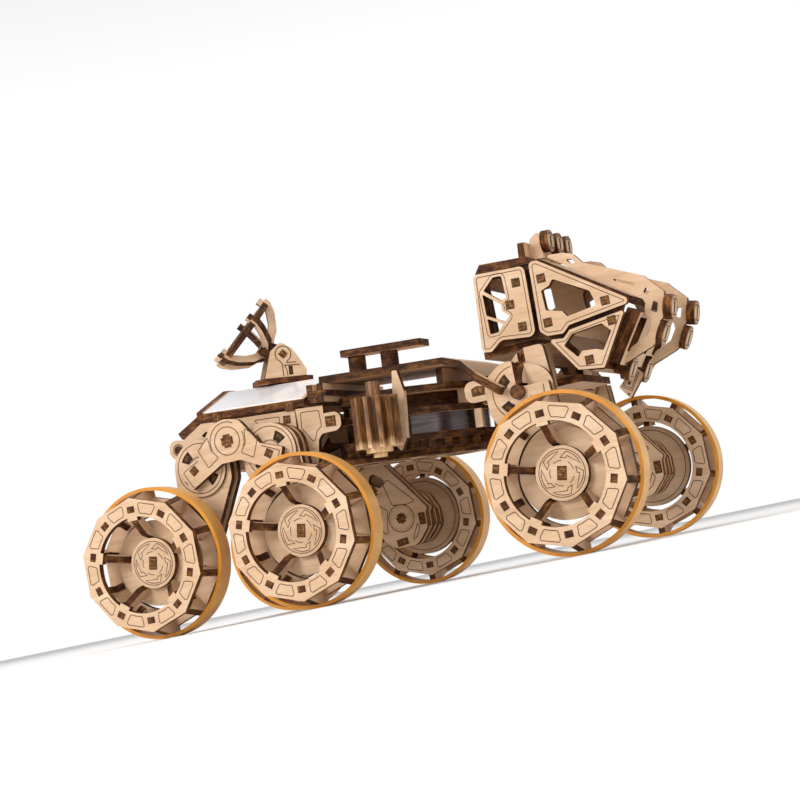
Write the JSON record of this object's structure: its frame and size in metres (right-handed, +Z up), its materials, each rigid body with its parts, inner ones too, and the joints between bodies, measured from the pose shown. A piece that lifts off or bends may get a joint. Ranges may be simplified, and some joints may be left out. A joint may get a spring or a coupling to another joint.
{
  "type": "laser-cut plywood model of a six-wheeled manned planetary rover",
  "caption": "Wooden mechanical kit model of a manned planetary rover: rocker legs, ribbed wheels with rubber tyres, angular cab, spring motor and a turning dish antenna.",
  "frame": {"origin": "on the floor under the middle of the bounding box", "axes": "+X towards the cab, +Y to the rover's left, +Z up"},
  "size_m": [0.2668, 0.1606, 0.1436],
  "materials": {
    "plywood": "raw birch plywood faces with dark laser-burnt edges",
    "tyre_rubber": "translucent amber band",
    "spring_steel": "dark blued glossy steel band",
    "deck_film": "glossy white sheet"
  },
  "bodies": {
    "chassis": {"belly_plate": "plywood", "bogie_arms": "plywood", "bogie_legs": "plywood", "cab_floor": "plywood", "cab_frames": "plywood", "cab_hood": "plywood", "cab_lower_panels": "plywood", "cab_rear_wall": "plywood", "cab_roof": "plywood", "cab_side_panels": "plywood", "cab_window_panels": "plywood", "deck_sheet": "deck_film", "front_beam": "plywood", "front_legs": "plywood", "front_mounts": "plywood", "front_underframe": "plywood", "lower_nose_lamps": "plywood", "motor_plates": "plywood", "motor_ring": "plywood", "motor_roof": "plywood", "motor_side_brackets": "plywood", "motor_spring": "spring_steel", "nose_plates": "plywood", "rear_cross_plates": "plywood", "rear_deck": "plywood", "rear_side_plates": "plywood", "roof_lamps": "plywood", "top_hatch": "plywood", "tow_bracket": "plywood", "upper_nose_lamps": "plywood", "winding_knob": "plywood", "windscreen_plates": "plywood"},
    "wheel_assembly_front_right": {"wheel_front_right": "plywood", "tyre_front_right": "tyre_rubber"},
    "wheel_assembly_front_left": {"wheel_front_left": "plywood", "tyre_front_left": "tyre_rubber"},
    "wheel_assembly_middle_right": {"wheel_middle_right": "plywood", "tyre_middle_right": "tyre_rubber"},
    "wheel_assembly_middle_left": {"wheel_middle_left": "plywood", "tyre_middle_left": "tyre_rubber"},
    "wheel_assembly_rear_right": {"wheel_rear_right": "plywood", "tyre_rear_right": "tyre_rubber"},
    "wheel_assembly_rear_left": {"wheel_rear_left": "plywood", "tyre_rear_left": "tyre_rubber"},
    "antenna_turntable": {"antenna_bracket": "plywood"},
    "antenna_head": {"antenna_dish": "plywood"}
  },
  "joints": [
    {"name": "front_right_wheel_spin", "type": "hinge", "parent": "chassis", "child": "wheel_assembly_front_right", "pos_m": [0.08613, -0.0701, 0.0325], "axis": [0, 1, 0], "continuous": true},
    {"name": "front_left_wheel_spin", "type": "hinge", "parent": "chassis", "child": "wheel_assembly_front_left", "pos_m": [0.08613, 0.0701, 0.0325], "axis": [0, 1, 0], "continuous": true},
    {"name": "middle_right_wheel_spin", "type": "hinge", "parent": "chassis", "child": "wheel_assembly_middle_right", "pos_m": [-0.02887, -0.0701, 0.0325], "axis": [0, 1, 0], "continuous": true},
    {"name": "middle_left_wheel_spin", "type": "hinge", "parent": "chassis", "child": "wheel_assembly_middle_left", "pos_m": [-0.02887, 0.0701, 0.0325], "axis": [0, 1, 0], "continuous": true},
    {"name": "rear_right_wheel_spin", "type": "hinge", "parent": "chassis", "child": "wheel_assembly_rear_right", "pos_m": [-0.10087, -0.0701, 0.0325], "axis": [0, 1, 0], "continuous": true},
    {"name": "rear_left_wheel_spin", "type": "hinge", "parent": "chassis", "child": "wheel_assembly_rear_left", "pos_m": [-0.10087, 0.0701, 0.0325], "axis": [0, 1, 0], "continuous": true},
    {"name": "antenna_swivel", "type": "hinge", "parent": "chassis", "child": "antenna_turntable", "pos_m": [-0.05777, 0, 0.10275], "axis": [0.0872, 0, 0.9962], "continuous": true},
    {"name": "antenna_tilt", "type": "hinge", "parent": "antenna_turntable", "child": "antenna_head", "pos_m": [-0.05664, 0, 0.1157], "axis": [-0.5714, 0.8192, 0.05], "range_deg": [-10, 84]}
  ]
}
